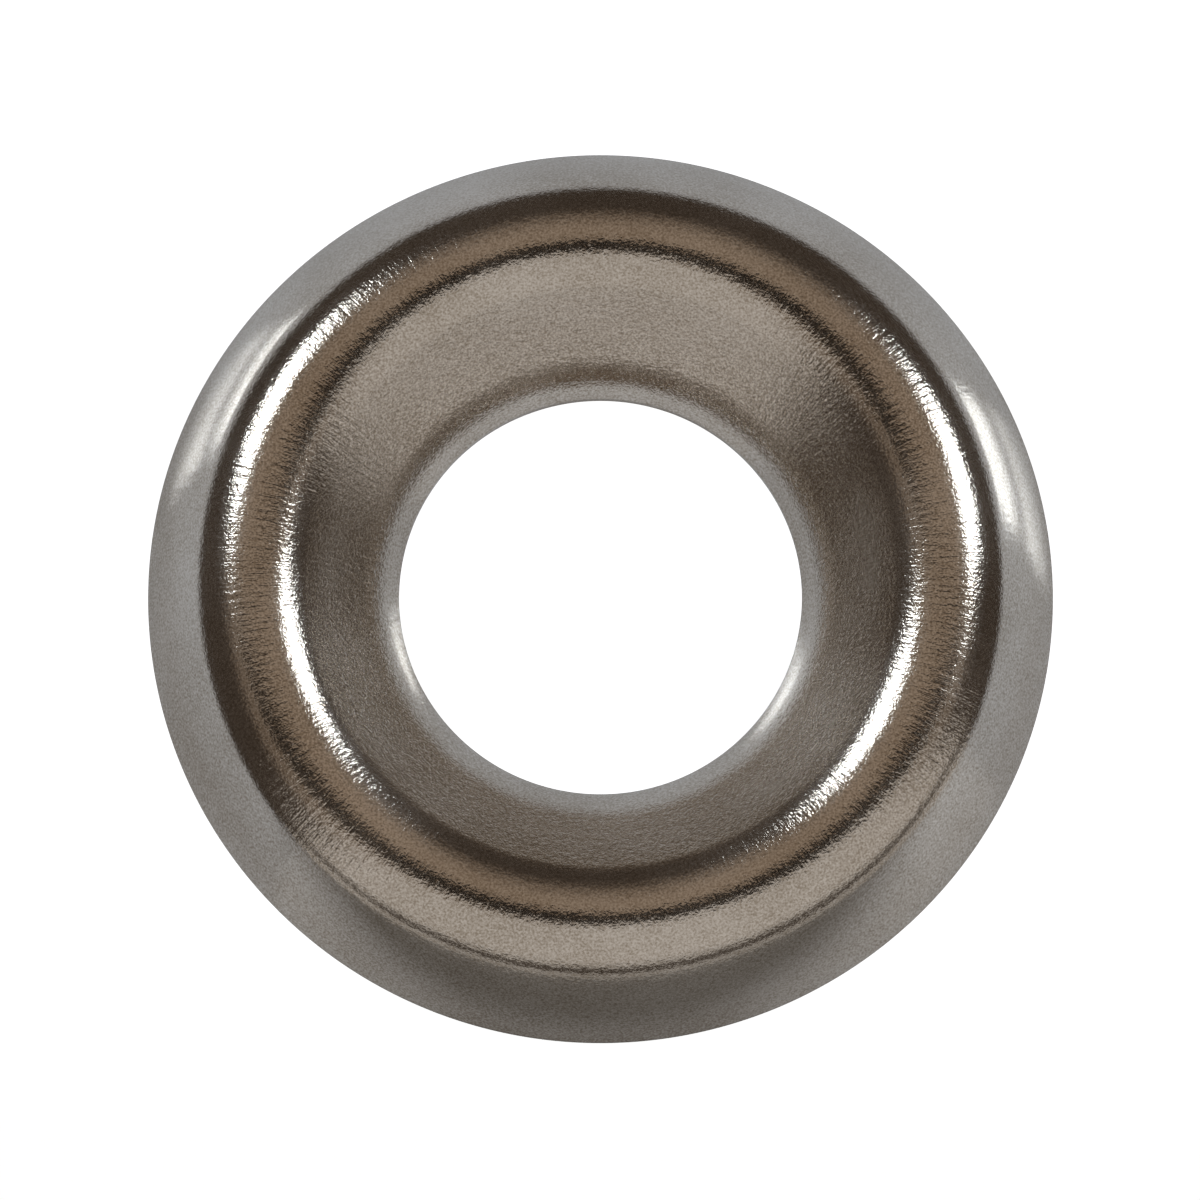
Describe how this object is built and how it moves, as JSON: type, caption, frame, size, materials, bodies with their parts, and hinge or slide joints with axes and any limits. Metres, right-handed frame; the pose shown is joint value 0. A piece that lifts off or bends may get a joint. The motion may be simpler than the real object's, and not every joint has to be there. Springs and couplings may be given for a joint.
{
  "type": "finishing cup washer",
  "caption": "Stamped finishing cup washer: a ring of plated sheet with a rolled crest, a cone inside it for a countersunk screw's head and a plain skirt outside.",
  "frame": {"origin": "centre of the washer's axis on the seat, the plane that its rim rests on", "axes": "+Z along the axis, from the seat up through the crest; the washer is round, so X and Y are free"},
  "size_m": [0.0142, 0.0142, 0.0021],
  "materials": {
    "nickel_plate": "nickel plated, semi-gloss, with a fine grain"
  },
  "bodies": {
    "root": {"cup_washer": "nickel_plate"}
  },
  "joints": []
}
